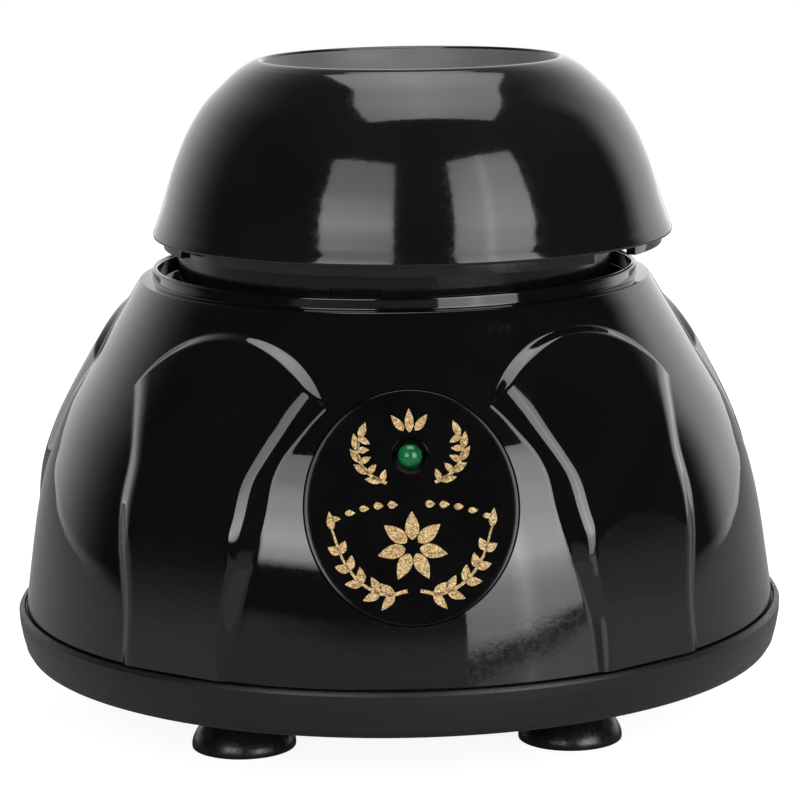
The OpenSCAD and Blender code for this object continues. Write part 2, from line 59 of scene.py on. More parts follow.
def make_mesh(name, verts, faces, mat, smooth=True, body="case", slot=None, replaces=()):
    """A new piece that rides on a body and, where asked, replaces solids. The slot argument is not used."""
    me = bpy.data.meshes.new(name)
    me.from_pydata([tuple(v) for v in verts], [], [tuple(f) for f in faces])
    me.validate()
    me.update()
    if smooth:
        me.polygons.foreach_set("use_smooth", [True] * len(me.polygons))
    ob = bpy.data.objects.new(name, me)
    bpy.context.scene.collection.objects.link(ob)
    me.materials.append(mat)
    if body:
        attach(ob, body)
    if replaces:
        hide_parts(*replaces)
    return ob


def spline(points, per=6):
    """A Catmull-Rom curve through the points."""
    p = np.array(points, float)
    p = np.vstack([2 * p[0] - p[1], p, 2 * p[-1] - p[-2]])
    out = []
    for i in range(1, len(p) - 2):
        for j in range(per):
            t = j / per
            a, b, c, d = p[i - 1], p[i], p[i + 1], p[i + 2]
            out.append(0.5 * ((2 * b) + (c - a) * t + (2 * a - 5 * b + 4 * c - d) * t * t
                              + (3 * b - a - 3 * c + d) * t ** 3))
    out.append(p[-2])
    return np.array(out)


def rounded(points, r, n=4):
    """The polyline with each inner corner rounded."""
    p = [np.array(q, float) for q in points]
    out = [p[0]]
    for i in range(1, len(p) - 1):
        a, b, c = p[i - 1], p[i], p[i + 1]
        la, lc = np.linalg.norm(a - b), np.linalg.norm(c - b)
        rr = min(r, la * 0.45, lc * 0.45)
        s, e = b + (a - b) / la * rr, b + (c - b) / lc * rr
        for j in range(n + 1):
            t = j / n
            out.append((1 - t) ** 2 * s + 2 * t * (1 - t) * b + t * t * e)
    out.append(p[-1])
    return np.array(out)


def lathe(name, profile, mat, segs=240, centre=(0, 0), closed=False, **kw):
    """Turns a profile of (r, z) in millimetres round the vertical axis."""
    prof = np.array(profile, float)
    n = len(prof)
    a = np.linspace(0, 2 * math.pi, segs, endpoint=False)
    ca, sa = np.cos(a), np.sin(a)
    verts = []
    rows = []
    for r, z in prof:
        if r < 1e-6:
            rows.append([len(verts)] * segs)
            verts.append((centre[0] * MM, centre[1] * MM, z * MM))
        else:
            rows.append(list(range(len(verts), len(verts) + segs)))
            verts.extend(zip((centre[0] + r * ca) * MM, (centre[1] + r * sa) * MM, [z * MM] * segs))
    faces = []
    pairs = [(i, i + 1) for i in range(n - 1)] + ([(n - 1, 0)] if closed else [])
    for i, j in pairs:
        for k in range(segs):
            m = (k + 1) % segs
            f = [rows[i][k], rows[i][m], rows[j][m], rows[j][k]]
            g = []
            for v in f:
                if v not in g:
                    g.append(v)
            if len(g) > 2:
                faces.append(g)
    return make_mesh(name, verts, faces, mat, **kw)


# ---------------------------------------------------------------- materials

def nodes_of(mat):
    """The nodes and the links of a material."""
    return mat.node_tree.nodes, mat.node_tree.links


def noise(mat, scale, detail=4, rough=0.55, coords="Object", stretch=None):
    """A noise texture, stretched along the axes where asked."""
    n, l = nodes_of(mat)
    tc = n.new("ShaderNodeTexCoord")
    tex = n.new("ShaderNodeTexNoise")
    tex.inputs["Scale"].default_value = scale
    tex.inputs["Detail"].default_value = detail
    tex.inputs["Roughness"].default_value = rough
    if stretch:
        mp = n.new("ShaderNodeMapping")
        mp.inputs["Scale"].default_value = stretch
        l.new(tc.outputs[coords], mp.inputs["Vector"])
        l.new(mp.outputs["Vector"], tex.inputs["Vector"])
    else:
        l.new(tc.outputs[coords], tex.inputs["Vector"])
    return tex


def ramp(mat, value, stops):
    """A colour ramp over the value. A stop's colour is (r, g, b), or (grey,)."""
    n, l = nodes_of(mat)
    r = n.new("ShaderNodeValToRGB")
    els = r.color_ramp.elements
    while len(els) < len(stops):
        els.new(0.5)
    for e, (pos, col) in zip(els, stops):
        e.position = pos
        e.color = (*col, 1) if len(col) == 3 else (col[0], col[0], col[0], 1)
    l.new(value, r.inputs["Fac"])
    return r.outputs["Color"]


def remap(mat, value, lo, hi, a, b):
    """The value, taken from the range lo to hi into a to b."""
    n, l = nodes_of(mat)
    m = n.new("ShaderNodeMapRange")
    m.inputs["From Min"].default_value = lo
    m.inputs["From Max"].default_value = hi
    m.inputs["To Min"].default_value = a
    m.inputs["To Max"].default_value = b
    l.new(value, m.inputs["Value"])
    return m.outputs["Result"]


def bump(mat, height, strength, distance, under=None):
    """A relief, on top of another one where given. Distances are in metres."""
    n, l = nodes_of(mat)
    b = n.new("ShaderNodeBump")
    b.inputs["Strength"].default_value = strength
    b.inputs["Distance"].default_value = distance
    l.new(height, b.inputs["Height"])
    if under is not None:
        l.new(under, b.inputs["Normal"])
    return b.outputs["Normal"]


WAVE_DEPTH, GRAIN_DEPTH, LEAST_ROUGH = 0.0006, 0.00008, 0.02


def surface(name, color, rough, metal=0.0, vary=0.25, grain=900, grain_bump=0.05, wave=60,
            wave_bump=0.0, rough_span=0.08, spec=0.5, ior=1.5, stretch=None):
    """A principled surface whose colour, roughness and relief all vary by procedural noise."""
    mat = bpy.data.materials.new(name)
    mat.use_nodes = True
    n, l = nodes_of(mat)
    bs = n["Principled BSDF"]
    wide = noise(mat, wave, 3)
    fine = noise(mat, grain, 2, stretch=stretch)
    dark = tuple(c * (1 - vary) for c in color)
    light = tuple(min(1, c * (1 + vary)) for c in color)
    l.new(ramp(mat, wide.outputs["Fac"], [(0.3, dark), (0.7, light)]), bs.inputs["Base Color"])
    least = max(LEAST_ROUGH, rough - rough_span)
    l.new(remap(mat, fine.outputs["Fac"], 0.3, 0.7, least, rough + rough_span), bs.inputs["Roughness"])
    bs.inputs["Metallic"].default_value = metal
    bs.inputs["Specular IOR Level"].default_value = spec
    bs.inputs["IOR"].default_value = ior
    nrm = None
    if wave_bump:
        nrm = bump(mat, wide.outputs["Fac"], wave_bump, WAVE_DEPTH)
    if grain_bump:
        nrm = bump(mat, fine.outputs["Fac"], grain_bump, GRAIN_DEPTH, nrm)
    if nrm is not None:
        l.new(nrm, bs.inputs["Normal"])
    return mat


gloss = surface("gloss_black", (0.0038, 0.0038, 0.0041), 0.05, vary=0.3, grain=1500, grain_bump=0.02,
                wave=45, wave_bump=0.03, rough_span=0.02, ior=1.6)
cup_gloss = surface("cup_gloss", (0.0064, 0.0064, 0.0068), 0.085, vary=0.3, grain=1300, grain_bump=0.04,
                    wave=38, wave_bump=0.03, rough_span=0.03)
# The bowl's grey is far lighter than the rest of the cup's rubber: partly dust, partly painted sheen.
bowl_dust_and_painted_sheen = surface("bowl_dust_and_painted_sheen", (0.12, 0.12, 0.122), 0.42, vary=0.12, grain=1500, grain_bump=0.08,
                     wave=60, rough_span=0.05)
satin = surface("satin_black", (0.012, 0.012, 0.0125), 0.36, vary=0.25, grain=1800, grain_bump=0.12,
                wave=50, rough_span=0.07, spec=0.4)
base_mat = surface("base_satin", (0.009, 0.009, 0.0094), 0.38, vary=0.2, grain=2200, grain_bump=0.18,
                   wave=70, rough_span=0.06, spec=0.42)
rubber = surface("foot_rubber", (0.009, 0.009, 0.0095), 0.3, vary=0.3, grain=1600, grain_bump=0.15,
                 wave=120, wave_bump=0.05, rough_span=0.08)
badge_mat = surface("badge_gloss", (0.0025, 0.0025, 0.0025), 0.12, vary=0.3, grain=2600,
                    grain_bump=0.03, wave=200, rough_span=0.03, spec=0.4)
drum_mat = surface("drum_satin", (0.0055, 0.0055, 0.0058), 0.16, vary=0.2, grain=1500, grain_bump=0.05,
                   wave=70, rough_span=0.04, spec=0.42)
zinc = surface("zinc", (0.55, 0.56, 0.58), 0.3, metal=1, vary=0.12, grain=1400, grain_bump=0.08,
               wave=220)
ground = surface("ground_steel", (0.62, 0.63, 0.65), 0.2, metal=1, vary=0.08, grain=900,
                 grain_bump=0.06, wave=300, stretch=(1, 1, 12))
spring_mat = surface("spring_wire", (0.42, 0.43, 0.45), 0.25, metal=1, vary=0.15, grain=1500, wave=400)
alu = surface("pressed_alu", (0.6, 0.61, 0.62), 0.34, metal=1, vary=0.1, grain=1200, grain_bump=0.08,
              wave=150, stretch=(14, 1, 1))
brass_mat = surface("brass", (0.62, 0.42, 0.14), 0.28, metal=1, vary=0.14, grain=1200, grain_bump=0.06,
                    wave=240)
red_mat = surface("red_plastic", (0.45, 0.03, 0.02), 0.35, vary=0.15, grain=1500, grain_bump=0.08,
                  wave=300)
ivory_mat = surface("ivory_plastic", (0.6, 0.58, 0.5), 0.4, vary=0.08, grain=1500, grain_bump=0.08,
                    wave=200)
board_mat = surface("board_green", (0.012, 0.1, 0.035), 0.3, vary=0.3, grain=700, grain_bump=0.1,
                    wave=500)
chip_mat = surface("chip_black", (0.015, 0.015, 0.016), 0.45, vary=0.3, grain=1600, grain_bump=0.15,
                   wave=300)


def lens_material():
    """Clear green plastic."""
    mat = bpy.data.materials.new("led_green")
    mat.use_nodes = True
    n, l = nodes_of(mat)
    bs = n["Principled BSDF"]
    tex = noise(mat, 500, 3)
    l.new(ramp(mat, tex.outputs["Fac"], [(0.3, (0.004, 0.13, 0.035)), (0.7, (0.01, 0.28, 0.08))]),
          bs.inputs["Base Color"])
    bs.inputs["Roughness"].default_value = 0.12
    bs.inputs["Transmission Weight"].default_value = 0.35
    bs.inputs["IOR"].default_value = 1.5
    l.new(bump(mat, tex.outputs["Fac"], 0.05, 0.0001), bs.inputs["Normal"])
    return mat


def glitter_material():
    """Gold glitter: each grain is a cell with a tone, a gloss and a height of its own."""
    mat = bpy.data.materials.new("gold_glitter")
    mat.use_nodes = True
    n, l = nodes_of(mat)
    bs = n["Principled BSDF"]
    tc = n.new("ShaderNodeTexCoord")
    cell = n.new("ShaderNodeTexVoronoi")
    cell.inputs["Scale"].default_value = 6500
    l.new(tc.outputs["Object"], cell.inputs["Vector"])
    sep = n.new("ShaderNodeSeparateColor")
    l.new(cell.outputs["Color"], sep.inputs["Color"])
    tones = [(0.0, (0.2, 0.12, 0.04)), (0.45, (0.5, 0.33, 0.14)), (1.0, (0.86, 0.66, 0.36))]
    l.new(ramp(mat, sep.outputs["Red"], tones), bs.inputs["Base Color"])
    bs.inputs["Metallic"].default_value = 0.55
    l.new(remap(mat, sep.outputs["Green"], 0, 1, 0.3, 0.65), bs.inputs["Roughness"])
    l.new(bump(mat, sep.outputs["Blue"], 0.6, 0.00006), bs.inputs["Normal"])
    return mat


lens_mat = lens_material()
gold_mat = glitter_material()


# ---------------------------------------------------------------- housing

LOW, TOP = 15.45, 59.05              # the shell's outside, in millimetres of height
SKIRT = [(50.92, LOW), (50.43, 19.0), (49.98, 22.2), (49.54, 25.2), (49.04, 28.2), (48.41, 31.2),
         (47.56, 34.4), (46.57, 37.2), (45.5, 39.9), (44.2, 42.6), (42.6, 45.3), (40.95, 48.0),
         (39.3, 50.8), (37.75, 53.4), (36.2, 56.0), (35.1, 57.9), (34.4, TOP)]
FOOT_R, FOOT_LEAN, FOOT_SIDE = 51.7, 0.1232, math.radians(9)   # flat foot, measured at its sides
PANEL_TOP = [(49.6, 32.5), (48.72, 35.2), (47.1, 39.2), (45.2, 42.7), (42.6, 47.1), (40.75, 50.2),
             (38.85, 53.3), (36.6, 56.6), (34.9, TOP)]
TOP_START, TOP_LEAN = 32.5, 0.26     # below this height the panel's top runs on as a cone
WALL = [(45.6, LOW), (44.95, 22), (44.75, 28), (44.6, 30.5), (43.86, 35), (42.1, 40.5), (40.9, 44.3),
        (39.6, 48), (36.9, 56), (35.8, TOP)]
CREST_Z, CREST_R, CREST_W, CREST_LEAN = 37.75, 18.4, 15.2, 1.2
CREASE_BLEND, WALL_BLEND, CREST_BLEND, BELL_BLEND = 0.2, 0.5, 0.16, 0.14
PANELS = 5
NECK = [(34.4, TOP), (34.25, 59.2), (32.74, 59.2), (32.66, 59.32), (32.645, 59.45), (32.565, 60.4),
        (32.55, 60.55), (32.4, 60.75), (31.98, 60.75), (31.8, 60.45), (31.8, 58.35), (20.1, 58.3),
        (20.1, 55.8), (34.3, 55.75)]
SHELL_WALL = 2.5


def profile_fn(points):
    """The radius at a height, along a smooth curve through the points."""
    p = spline(points, 10)
    order = np.argsort(p[:, 1])
    return lambda z: np.interp(z, p[order, 1], p[order, 0])


bell_at = profile_fn(SKIRT)
top_at = profile_fn(PANEL_TOP)
wall_at = profile_fn(WALL)


def housing_radius(az, z):
    """Radius of the shell's outside at azimuths az (radians, 0 at the front) and heights z."""
    bell = bell_at(z)
    half = rad(180 / PANELS)
    rib = (az + half) % (2 * half) - half              # angle from the nearest rib
    arch = half - np.abs(rib)                          # angle from the nearest panel's axis
    # the foot is flat and the top is round, so the crease between them is scalloped
    foot = (FOOT_R - (z - LOW) * FOOT_LEAN) * math.cos(FOOT_SIDE) / np.cos(arch)
    top = top_at(np.maximum(z, TOP_START)) + np.maximum(TOP_START - z, 0) * TOP_LEAN
    panel = smooth_min(foot, top, CREASE_BLEND)
    wall = wall_at(z) / np.cos(rib)
    # the crest is a wall that leans back, so it shows as a band round the top of the arch
    across = bell * np.sin(arch)
    inside = CREST_R - np.hypot(across, np.maximum(z - CREST_Z, 0))
    inside = np.minimum(inside, CREST_W - np.abs(across))
    crest = bell + inside * CREST_LEAN
    raised = smooth_min(panel, wall, WALL_BLEND)
    raised = smooth_min(raised, crest, CREST_BLEND)
    return smooth_max(bell, raised, BELL_BLEND)


def build_housing():
    """The shell as one closed skin: outside, neck ring, ledge and inside."""
    turn = 1440
    az = np.linspace(0, 2 * math.pi, turn, endpoint=False)
    rows = []
    for z in np.concatenate([np.linspace(LOW, 44.7, 84), np.linspace(45, TOP, 92)]):
        rows.append((housing_radius(az, np.full(turn, z)), z))
    for r, z in rounded(NECK, 0.12, 3)[1:]:
        rows.append((np.full(turn, r), z))
    for z in np.linspace(54.6, LOW, 24):
        rows.append((np.full(turn, float(bell_at(z)) - SHELL_WALL), z))
    n = len(rows)
    verts = np.zeros((n, turn, 3))
    sx, cy = np.sin(az), -np.cos(az)
    for i, (r, z) in enumerate(rows):
        verts[i, :, 0] = r * sx * MM
        verts[i, :, 1] = r * cy * MM
        verts[i, :, 2] = z * MM
    idx = np.arange(n * turn).reshape(n, turn)
    nxt_row = np.roll(idx, -1, axis=0)
    a, b = idx, np.roll(idx, -1, axis=1)
    c, d = np.roll(nxt_row, -1, axis=1), nxt_row
    faces = np.stack([a, b, c, d], -1).reshape(-1, 4)
    return verts.reshape(-1, 3), faces


BADGE_Y, BADGE_Z, BADGE_LEAN = -44.75, 36.7, rad(20.3)
BADGE_W, BADGE_H, LIGHT_UP = 13.2, 14.6, 6.4      # half width, half height, light above the middle
SEAT_GAP, LIGHT_HOLE, PLATE_BACK = 0.13, 2.3, 0.88
badge_frame = Matrix.Translation((0, BADGE_Y * MM, BADGE_Z * MM)) @ Matrix.Rotation(-BADGE_LEAN, 4, "X")


def solid_tool(name, verts, faces, matrix):
    """A solid that is only cut out of another one."""
    me = bpy.data.meshes.new(name)
    me.from_pydata([tuple(v) for v in verts], [], [tuple(f) for f in faces])
    me.update()
    ob = bpy.data.objects.new(name, me)
    bpy.context.scene.collection.objects.link(ob)
    ob.matrix_world = matrix
    return ob


def prism(outline, y0, y1):
    """A closed prism along Y from an outline of (x, z) in millimetres."""
    n = len(outline)
    verts = [(x * MM, y0 * MM, z * MM) for x, z in outline] + [(x * MM, y1 * MM, z * MM) for x, z in outline]
    faces = [list(range(n)), list(range(2 * n - 1, n - 1, -1))]
    faces += [[i, i + n, (i + 1) % n + n, (i + 1) % n] for i in range(n)]
    return verts, faces


def oval_points(w, h, n=120):
    """An oval outline of half width w and half height h."""
    return [(w * math.cos(t), h * math.sin(t)) for t in np.linspace(0, 2 * math.pi, n, endpoint=False)]


def cut(ob, tools):
    """Cuts the tools out of the object's mesh for good."""
    for t in tools:
        m = ob.modifiers.new("cut", "BOOLEAN")
        m.operation = "DIFFERENCE"
        m.solver = "EXACT"
        m.object = t
    bpy.context.view_layer.update()
    dep = bpy.context.evaluated_depsgraph_get()
    me = bpy.data.meshes.new_from_object(ob.evaluated_get(dep))
    ob.modifiers.clear()
    ob.data = me
    for t in tools:
        bpy.data.objects.remove(t)


def wall_frame(turn, z, lean, out):
    """A frame on the leaning wall: turned round from the front, at a height and a distance out."""
    return (Matrix.Rotation(rad(turn), 4, "Z") @ Matrix.Translation((0, -out * MM, z * MM))
            @ Matrix.Rotation(-rad(lean), 4, "X"))


verts, faces = build_housing()
housing = make_mesh("shell", verts, faces, gloss, body=None)
badge_seat = prism(oval_points(BADGE_W + SEAT_GAP, BADGE_H + SEAT_GAP, 160), -8, 0.9)
tools = [solid_tool("t1", *badge_seat, badge_frame)]
jack_frame = wall_frame(180, 26.5, 7.04, 50.33)
tools.append(solid_tool("t2", *prism(oval_points(4.1, 4.1, 48), -6, 8), jack_frame))
tools.append(solid_tool("t3", *prism(oval_points(6.2, 6.2, 64), -4, 0.5), jack_frame))
power_frame = wall_frame(144, 26, 9.5, 49.126)
power_seat = [(-4.35, -6.65), (4.35, -6.65), (4.35, 6.65), (-4.35, 6.65)]
tools.append(solid_tool("t4", *prism(power_seat, -4, 6), power_frame))
cut(housing, tools)
housing.data.polygons.foreach_set("use_smooth", [True] * len(housing.data.polygons))
housing.data.set_sharp_from_angle(angle=rad(50))
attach(housing, "case")
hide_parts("housing")


# ---------------------------------------------------------------- badge, its ornament and the light

def on_badge(x, z, y=0.0):
    """A point of the plate: x to the right, z up along it and y into it."""
    return badge_frame @ Vector((x * MM, y * MM, z * MM))


EDGE_IN, HOLE_EDGE = 0.86, 0.05


def build_badge():
    """The oval plate: a rounded edge, a flat face and a hole for the light."""
    n = 200
    t = np.linspace(0, 2 * math.pi, n, endpoint=False)
    loops = []
    edge = [(0.0, PLATE_BACK), (0.0, 0.16), (0.02, 0.08), (0.07, 0.025), (0.15, 0.0), (EDGE_IN, 0.0)]
    for inset, y in edge:
        loops.append([((BADGE_W - inset) * math.cos(a), (BADGE_H - inset) * math.sin(a), y) for a in t])
    steps = 14
    hole = LIGHT_HOLE
    for k in range(1, steps + 1):
        f = k / steps
        w = (BADGE_W - EDGE_IN) * (1 - f) + (hole + HOLE_EDGE) * f
        h = (BADGE_H - EDGE_IN) * (1 - f) + (hole + HOLE_EDGE) * f
        loops.append([(w * math.cos(a), LIGHT_UP * f + h * math.sin(a), 0.0) for a in t])
    for y in (0.1, PLATE_BACK):
        loops.append([(hole * math.cos(a), LIGHT_UP + hole * math.sin(a), y) for a in t])
    vs = [on_badge(x, z, y) for loop in loops for x, z, y in loop]
    fs = []
    for i in range(len(loops) - 1):
        for k in range(n):
            m = (k + 1) % n
            fs.append((i * n + k, i * n + m, (i + 1) * n + m, (i + 1) * n + k))
    last = (len(loops) - 1) * n
    for k in range(n):
        m = (k + 1) % n
        fs.append((last + k, last + m, m, k))
    return vs, fs


badge = make_mesh("badge", *build_badge(), badge_mat, replaces=("badge_plate",), slot="badge_black")
badge.data.set_sharp_from_angle(angle=rad(40))


def ribbon(points, widths):
    """A flat band along a curve on the badge. Points are (x, z)."""
    p = np.array(points, float)
    d = np.gradient(p, axis=0)
    d /= np.linalg.norm(d, axis=1)[:, None]
    side = np.stack([-d[:, 1], d[:, 0]], -1)
    w = np.array(widths)[:, None] / 2
    return p + side * w, p - side * w


def leaf(x, z, length, width, angle):
    """A leaf that starts at (x, z) and points along the angle."""
    t = np.linspace(0, 1, 17)
    w = width * np.sin(np.pi * t ** 0.75) ** 0.9
    a = rad(angle)
    pts = np.stack([x + t * length * math.cos(a), z + t * length * math.sin(a)], -1)
    return ribbon(pts, np.maximum(w, 0.02))


def band(points, w0, w1):
    """A stem along the points, w0 wide at its start and w1 at its end."""
    pts = spline(points, 8)
    return ribbon(pts, np.linspace(w0, w1, len(pts)))


def build_ornament():
    """A bloom over two leafy sprigs, in gold. It is only a pattern and holds no letter or mark."""
    strips = []
    for k in range(7):
        a = 90 + k * 360 / 7
        x, z = 0.9 * math.cos(rad(a)), -4.9 + 0.9 * math.sin(rad(a))
        strips.append(leaf(x, z, 3.5, 1.75, a))
    for side in (-1, 1):
        stem = [(side * 0.8, -10.3), (side * 3.4, -10.7), (side * 6.3, -9.3), (side * 8.5, -6.4),
                (side * 9.8, -2.6)]
        strips.append(band(stem, 0.46, 0.26))
        sp = spline(stem, 8)
        for i, f in enumerate((0.18, 0.34, 0.5, 0.66, 0.82)):
            at = int(f * (len(sp) - 1))
            q = sp[at]
            d = sp[at + 1] - q
            base = math.degrees(math.atan2(d[1], d[0]))
            for up in (-1, 1):
                strips.append(leaf(q[0], q[1], 2.5 - 0.2 * i, 1.1, base + up * 42))
        strips.append(leaf(stem[-1][0], stem[-1][1], 2.3, 1.0, 90 - side * 8))
        arc = [(side * 3.0, 3.0), (side * 5.2, 4.3), (side * 6.5, 6.6), (side * 6.1, 9.0)]
        strips.append(band(arc, 0.44, 0.26))
        for f, ang in ((0.12, 8), (0.35, 32), (0.58, 55), (0.8, 80), (1.0, 112)):
            q = spline(arc, 8)[int(f * 23)]
            strips.append(leaf(q[0], q[1], 2.1, 0.95, 90 - side * (90 - ang)))
            strips.append(leaf(q[0], q[1], 1.5, 0.8, 90 - side * (90 - ang - 100)))
        for k in range(5):
            strips.append(leaf(side * (2.3 + 1.75 * k) - 0.62, 0.35 - 0.1 * k * k, 1.24, 0.95 - 0.07 * k, 0))
    strips.append(leaf(0, 9.3, 3.0, 1.1, 90))
    for side in (-1, 1):
        strips.append(leaf(side * 0.7, 9.5, 2.5, 1.0, 90 - side * 38))
    vs, fs = [], []
    for left, right in strips:
        base = len(vs)
        n = len(left)
        for y in (-0.03, 0.01):
            for q in left:
                vs.append(on_badge(q[0], q[1], y))
            for q in right:
                vs.append(on_badge(q[0], q[1], y))
        for i in range(n - 1):
            fs.append((base + i, base + i + 1, base + n + i + 1, base + n + i))
        rim = list(range(n)) + list(range(2 * n - 1, n - 1, -1))
        for i in range(len(rim)):
            j = (i + 1) % len(rim)
            fs.append((base + rim[i], base + rim[j], base + 2 * n + rim[j], base + 2 * n + rim[i]))
    return vs, fs


ornament = make_mesh("badge_ornament", *build_ornament(), gold_mat, smooth=False, slot="badge_black")


def build_lens():
    """The light's round-nosed lens, turned about the hole's axis."""
    rows = [(1.9, 4.2), (1.9, 3.2), (1.5, 3.2), (1.5, 0.55)]
    for a in range(0, 91, 9):
        rows.append((1.5 * math.cos(rad(a)), 0.55 - 1.25 * math.sin(rad(a))))
    n = 64
    vs, fs, loops = [], [], []
    for r, y in rows:
        if r < 1e-6:
            loops.append([len(vs)] * n)
            vs.append(on_badge(0, LIGHT_UP, y))
            continue
        loops.append(list(range(len(vs), len(vs) + n)))
        turns = [2 * math.pi * k / n for k in range(n)]
        vs.extend(on_badge(r * math.cos(a), LIGHT_UP + r * math.sin(a), y) for a in turns)
    for i in range(len(rows) - 1):
        for k in range(n):
            m = (k + 1) % n
            f = [loops[i][k], loops[i][m], loops[i + 1][m], loops[i + 1][k]]
            f = [v for j, v in enumerate(f) if v not in f[:j]]
            if len(f) > 2:
                fs.append(f)
    return vs, fs


lens = make_mesh("lens", *build_lens(), lens_mat, replaces=("led_lens",), slot="green_lens")
lens.data.set_sharp_from_angle(angle=rad(50))


# ---------------------------------------------------------------- cup, base and feet

HEAD = (2.5, 0)                      # the cup stands this far off the middle
BOWL_R, BOWL_Z = 22.04, 97.24        # the bowl is part of a sphere
dome = spline([(34.35, 66.6), (33.55, 69.0), (32.9, 71.3), (32.1, 73.8), (31.12, 76.3), (30.2, 78.3),
               (29.1, 80.25), (27.95, 82.0), (26.7, 83.45), (25.2, 84.9), (23.6, 86.35), (22.2, 87.35),
               (21.1, 87.95)], 6)
rim = rounded([(21.1, 87.95), (20.5, 88.17), (20.0, 88.2), (19.7, 87.85), (19.45, 87.45)], 0.3, 4)
bowl = [(BOWL_R * math.cos(rad(a)), BOWL_Z + BOWL_R * math.sin(rad(a))) for a in np.linspace(-29, -90, 30)]
lip = rounded([(33.5, 65.3), (33.5, 64.9), (34.83, 64.9), (34.9, 65.25), (34.62, 66.0), (34.35, 66.6)],
              0.12, 3)
cup_profile = np.vstack([lip[:-1], dome[:-1], rim[:-1], bowl])
cup_under = [(0, 73.7), (14, 73.7), (14, 71.85), (16, 71.85), (17.5, 75.4), (21.2, 80.4), (23.6, 79.4),
             (26.5, 75.4), (28, 71.85), (31.6, 71.85), (32, 70.5), (33.5, 65.3)]
cup = lathe("cup", np.vstack([cup_profile, cup_under]), cup_gloss, segs=360, centre=HEAD, body="head",
            replaces=("rubber_cup",), slot="black_rubber")
cup.data.set_sharp_from_angle(angle=rad(48))
# The inside of the bowl takes the lighter grey, which is partly dust and partly painted sheen.
cup.data.materials.append(bowl_dust_and_painted_sheen)
BOWL_EDGE, BOWL_FLOOR = 19.7, 74.5
for poly in cup.data.polygons:
    c = poly.center
    if math.hypot(c.x - HEAD[0] * MM, c.y) < BOWL_EDGE * MM and c.z > BOWL_FLOOR * MM:
        poly.material_index = 1

ring_outline = rounded([(49.0, 8.95), (50.0, 8.95), (50.75, 9.2), (51.2, 10.0), (51.62, 11.6), (51.93, 13.4),
                        (51.98, 14.7), (51.78, 15.15), (51.3, 15.2), (51.2, 14.85), (49.4, 14.8), (49.4, 15.35),
                        (47.6, 15.4), (47.6, 18.2), (46.1, 18.2), (46.1, 11.45), (44, 11.45)], 0.22, 4)
ring = lathe("base_ring", ring_outline, base_mat, segs=360, slot="satin_black_plastic")
ring.data.set_sharp_from_angle(angle=rad(60))

foot_outline = np.vstack([
    [(0, 2.1), (1.6, 2.0), (3, 1.8), (4.4, 1.3), (5.5, 0.55), (6.3, 0.0)],
    rounded([(6.3, 0.0), (6.83, 0.0), (6.85, 0.45)], 0.15, 3),
    spline([(6.82, 0.75), (6.62, 1.4), (6.2, 2.2), (5.55, 3.05), (4.8, 3.9), (4.1, 4.7), (3.6, 5.6),
            (3.35, 6.6),
            (3.5, 7.8), (4.3, 8.95)], 4),
    [(2.6, 8.95), (2.6, 12.05), (3.6, 12.05), (3.5, 12.6), (2.4, 13.4), (0, 13.6)]])
FOOT_PLACE = 30.4
foot_places = {"foot_rear_right": 45, "foot_rear_left": 135, "foot_front_left": 225,
               "foot_front_right": 315}
for node, a in foot_places.items():
    c = (FOOT_PLACE * math.cos(rad(a)), FOOT_PLACE * math.sin(rad(a)))
    f = lathe(node.replace("foot", "sucker"), foot_outline, rubber, segs=96, centre=c,
              replaces=(node,), slot="black_rubber")
    f.data.set_sharp_from_angle(angle=rad(60))


# ---------------------------------------------------------------- CAD nodes and their materials

finish_of = {
    "gloss_black_plastic": gloss, "satin_black_plastic": satin, "badge_black": badge_mat,
    "green_lens": lens_mat,
    "black_rubber": rubber, "zinc_steel": zinc, "spring_steel": spring_mat, "ground_steel": ground,
    "pressed_aluminium": alu, "brass": brass_mat, "green_board": board_mat, "red_plastic": red_mat,
    "ivory_plastic": ivory_mat}
slots = {
    "gloss_black_plastic": ["housing", "turret", "power_rocker", "cup_carrier"],
    "badge_black": ["badge_plate"], "green_lens": ["led_lens"],
    "black_rubber": ["foot_front_left", "foot_front_right", "foot_rear_left", "foot_rear_right",
                     "rubber_cup"],
    "zinc_steel": ["base_screws", "shoulder_bolts", "jack_pin", "jack_nut", "board_screws", "switch_bracket",
                   "bracket_screws", "switch_screws", "motor_can", "motor_screws", "crank_washer",
                   "crank_screw",
                   "cover_screws"],
    "spring_steel": ["press_spring_1", "press_spring_2", "press_spring_3"],
    "ground_steel": ["motor_shaft", "hub_grub_screw", "inner_race", "outer_race", "carrier_pins"],
    "pressed_aluminium": ["motor_plate"],
    "brass": ["jack_contacts", "power_terminals", "motor_tabs", "motor_bush", "crank_hub"],
    "green_board": ["control_board"], "red_plastic": ["switch_plunger"],
    "ivory_plastic": ["guide_bushes"]}
by_node = {n: finish_of[s] for s, names in slots.items() for n in names}
by_node.update({"board_parts": chip_mat, "turret": drum_mat, "base_plate": base_mat})
for name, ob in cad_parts.items():
    ob.data.materials.clear()
    ob.data.materials.append(by_node.get(name, satin))


# ---------------------------------------------------------------- stage, light and camera

